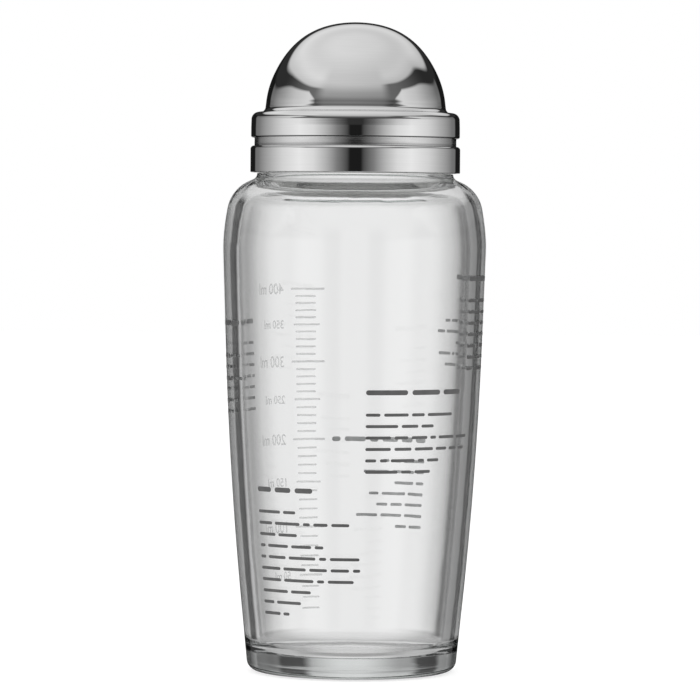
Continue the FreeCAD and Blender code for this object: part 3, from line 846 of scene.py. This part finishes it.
corner_signs = np.array([(-1, -1), (1, -1), (1, 1), (-1, 1)])
floor_points = np.column_stack([corner_signs * FLOOR_HALF, np.full(4, -FLOOR_DROP)])
floor = smooth_object("pale_floor", floor_points, [(0, 1, 2, 3)])
floor_finish, tree, shader = new_finish("pale_floor")
_, cloud = grain_in(tree, GRAIN_SCALE, FLOOR_CLOUD)
tree.links.new(between(tree, cloud, (0.5, 0.5, 0.5), (0.52, 0.52, 0.52)), shader.inputs["Base Color"])
shader.inputs["Roughness"].default_value = 0.8
shader.inputs["Specular IOR Level"].default_value = 0.1
shader.inputs["Emission Color"].default_value = (1, 1, 1, 1)
shader.inputs["Emission Strength"].default_value = FLOOR_GLOW
dress(floor, floor_finish)
floor.visible_glossy = False
floor.visible_transmission = False

# %% [markdown]
# Lit planes could stand round the shaker. Here the studio is a function of direction, which adds no noise and
# stays the same however the shaker is opened. Each direction has a bearing, in degrees round from the camera's
# side to the far side, and a rise, in degrees up from level. Every panel is a product of soft ramps along these.

# %% directions
world = bpy.data.worlds.new("studio")
bpy.context.scene.world = world
world.use_nodes = True
world.cycles.sampling_method = "NONE"
tree = world.node_tree
direction = add(tree, "ShaderNodeTexCoord").outputs["Generated"]
x, y, z = add(tree, "ShaderNodeSeparateXYZ", {"Vector": direction}).outputs
turn = calc(tree, "ARCTAN2", x, times(tree, y, -1.0))
bearing = calc(tree, "DEGREES", calc(tree, "ABSOLUTE", turn))
rise = calc(tree, "DEGREES", calc(tree, "ARCSINE", z))


def by_bearing(*ramp):
    """A value that follows the bearing: the ramp's two ends, the values at them, and how it eases."""
    return stretch(tree, bearing, *ramp)


def by_rise(*ramp):
    """A value that follows the rise, given in the same way."""
    return stretch(tree, rise, *ramp)


def across(left, right, reach=0.5):
    """A value that goes from one on the studio's left to one on its right."""
    return stretch(tree, x, -reach, reach, left, right)


print(f"{world.name}: {len(tree.nodes)} nodes with the directions")

# %% side panels
# How bright the side panels are, by the bearing.
PANEL_TONES = (
    (0, 0.015), (6, 0.015), (9, 0.09), (20, 0.27), (33, 0.62), (47, 0.95), (64, 1.1), (87, 0.88),
    (107, 0.56), (133, 0.23), (142, 0.2), (145, 0.012), (180, 0.012),
)
HALF_TURN = 180
ramp = add(tree, "ShaderNodeValToRGB", {"Fac": calc(tree, "DIVIDE", bearing, HALF_TURN)})
stops = ramp.color_ramp.elements
stops.remove(stops[1])
for angle, tone in PANEL_TONES:
    stop = stops.new(angle / HALF_TURN) if angle else stops[0]
    stop.color = (tone, tone, tone, 1)

# Each panel has a level top edge, so it looks lower further round.
top_slope = by_bearing(95.0, 140.0, 0.0, -9.0)
front_slope = by_bearing(48.0, 66.0, 9.0, 22.0, "LINEAR")
panel_top = plus(tree, across(0.0, 3.0), top_slope, front_slope)
below_top = stretch(tree, calc(tree, "SUBTRACT", rise, panel_top), -2.0, 2.0, 1.0, 0.0)
dimmer_up = by_rise(6.0, 13.0, 1.0, 0.8)

# A dark wedge cuts into each panel from the camera's side and leaves a bright tip above it.
wedge_top = by_bearing(52.0, 78.0, 15.5, 5.0, "LINEAR")
tip = stretch(tree, calc(tree, "SUBTRACT", rise, wedge_top), -2.5, 2.0, 0.12, 1.0)
under_wedge = by_rise(4.0, 6.0, 1.0, 0.0)
cut = largest(tree, tip, under_wedge)
dark_ground = by_rise(-55.0, -45.0, 0.1, 1.0)
low_panels = times(tree, ramp.outputs["Color"], below_top, dimmer_up, cut, dark_ground)
print(f"{world.name}: {len(tree.nodes)} nodes with the side panels, which have {len(stops)} tones")

# %% roof
# Over the side panels is a dark gap with a faint glow, and over that the roof.
far_drop = times(tree, across(-4.0, -12.0), by_bearing(105.0, 140.0))
near_drop = by_bearing(58.0, 100.0, -3.5, -0.5)
roof_edge = plus(tree, across(28.0, 34.0), far_drop, near_drop)
over_edge = calc(tree, "SUBTRACT", rise, roof_edge)
roof_rim = stretch(tree, over_edge, 0.0, 4.5, 0.0, 0.72)
roof_middle = stretch(tree, over_edge, 0.0, 16.0, 0.0, 0.28)
gap_glow = times(tree, by_bearing(45.0, 120.0, 0.21, 0.035), by_rise(10.0, 16.0))
side_roof = largest(tree, plus(tree, roof_rim, roof_middle), gap_glow)

# Towards the camera the roof comes down lower, in soft steps: from this rise to that, so much brighter.
FRONT_STEPS = ((3.0, 9.0, 0.19), (11.0, 21.0, 0.26), (20.0, 37.0, 0.35), (38.0, 75.0, 0.19))
front_roof = plus(tree, *(by_rise(low, high, 0.0, tone) for low, high, tone in FRONT_STEPS))
leaned = plus(tree, bearing, times(tree, x, 6.0))
at_side = times(tree, stretch(tree, leaned, 36.0, 54.0), by_rise(36.0, 60.0, 1.0, 0.0))
overhead = blend(tree, at_side, front_roof, side_roof)
overhead = times(tree, overhead, stretch(tree, x, -0.7, 0.9, 0.96, 0.82))

background = times(tree, by_bearing(171.0, 173.0, 0.0, 0.5), by_rise(5.0, 7.0, 1.0, 0.0))
mirrored = largest(tree, low_panels, overhead, background)
print(f"{world.name}: {len(tree.nodes)} nodes with the roof")

# %% [markdown]
# A ray that leaves the glass has been bent away from straight ahead, most of all near the bottle's edges. So
# an upright that stands far to one side is seen as a dark line along the wall. Two wide ones behind the bottle
# draw these lines for the camera, and narrow ones all round do it for the other views.

# %% through glass
UPRIGHT_STEP = 45.0
WHITE = 0.88
BEHIND = (125.0, 126.0)

from_upright = distance(tree, calc(tree, "MODULO", bearing, UPRIGHT_STEP), UPRIGHT_STEP / 2)
narrow = stretch(tree, from_upright, 3.0, 13.0, 0.45, WHITE)
narrow = largest(tree, narrow, by_bearing(*BEHIND, 0.0, WHITE))
wide_middle = across(by_rise(1.0, 3.0, 146.0, 144.0), 155.0, reach=0.3)
wide = stretch(tree, distance(tree, bearing, wide_middle), 5.0, 11.0, 0.08, 1.0)

# Beside the right one stands a grey one, which fills the right wall and the left of the base.
GREY = 0.57
grey = stretch(tree, distance(tree, bearing, 136.0), 8.0, 12.0, GREY, 1.0)
grey = largest(tree, grey, stretch(tree, x, 0.0, 0.3, 1.0, GREY))
backdrop = largest(tree, by_bearing(164.0, 178.0, 0.7, WHITE), by_bearing(*BEHIND, WHITE, 0.0))
uprights = calc(tree, "MINIMUM", times(tree, wide, grey, backdrop), narrow)

# The uprights are seen near level only. Straight down it is darker, as under the base.
near_level = times(tree, by_rise(9.0, 19.0, 1.0, 0.0), by_rise(-17.0, -11.0))
through = blend(tree, near_level, by_rise(-72.0, -44.0, 0.4, 0.8), uprights)
print(f"{world.name}: {len(tree.nodes)} nodes with the uprights")

# %% which rays see what
LIGHT_TURNS = 24

rays = add(tree, "ShaderNodeLightPath").outputs
shiny = blend(tree, rays["Is Transmission Ray"], mirrored, through)
tone = blend(tree, rays["Is Glossy Ray"], 1.0, shiny)
surround = tree.nodes["Background"]
tree.links.new(tone, surround.inputs["Color"])
surround.inputs["Strength"].default_value = 1.0
print(f"{world.name}: {len(tree.nodes)} nodes")

# Inside thick glass light is turned back many times before it leaves.
bpy.context.scene.cycles.max_bounces = LIGHT_TURNS
bpy.context.scene.cycles.glossy_bounces = LIGHT_TURNS
bpy.context.scene.cycles.transmission_bounces = LIGHT_TURNS

# %% lamps
LAMP_SIZE = 0.6
LAMP_AIM = Vector((0, 0, 0.12))


def softbox(name, place, power):
    """A square lamp that faces the middle of the shaker and lights dull surfaces only."""
    lamp = bpy.data.lights.new(name, "AREA")
    lamp.size = LAMP_SIZE
    lamp.energy = power
    shown = bpy.data.objects.new(name, lamp)
    shown.location = place
    shown.rotation_euler = (LAMP_AIM - shown.location).to_track_quat("-Z", "Y").to_euler()
    shown.visible_camera = False
    shown.visible_glossy = False
    shown.visible_transmission = False
    bpy.context.scene.collection.objects.link(shown)
    print(f"{name}: {power} W")


softbox("key_softbox", Vector((-0.7, -0.7, 0.9)), 4.0)
softbox("fill_softbox", Vector((0.9, -0.5, 0.5)), 1.5)

# %% [markdown]
# ## The camera
#
# The photograph was taken from a little over a metre, at about two thirds of the shaker's height, with the
# camera tipped down slightly and turned by less than half a degree.

# %% camera
CAMERA_DISTANCE = 1.33
CAMERA_HEIGHT = 0.142
AIM_X = -0.0012
AIM_HEIGHT = 0.1015
FRAME_WIDTH = 0.2215
SENSOR_WIDTH = 36.0
ROLL = np.radians(0.45)

lens = bpy.data.cameras.new("camera")
lens.sensor_width = SENSOR_WIDTH
lens.lens = SENSOR_WIDTH * CAMERA_DISTANCE / FRAME_WIDTH
camera = bpy.data.objects.new("camera", lens)
camera.location = (AIM_X, -CAMERA_DISTANCE, CAMERA_HEIGHT)
look = Vector((AIM_X, 0, AIM_HEIGHT)) - camera.location
upright = look.to_track_quat("-Z", "Y").to_matrix()
camera.rotation_euler = (upright @ Matrix.Rotation(ROLL, 3, "Z")).to_euler()
bpy.context.scene.collection.objects.link(camera)
bpy.context.scene.camera = camera
bpy.context.scene.view_settings.view_transform = "Standard"
print(f"camera: {lens.lens:.0f} mm lens")
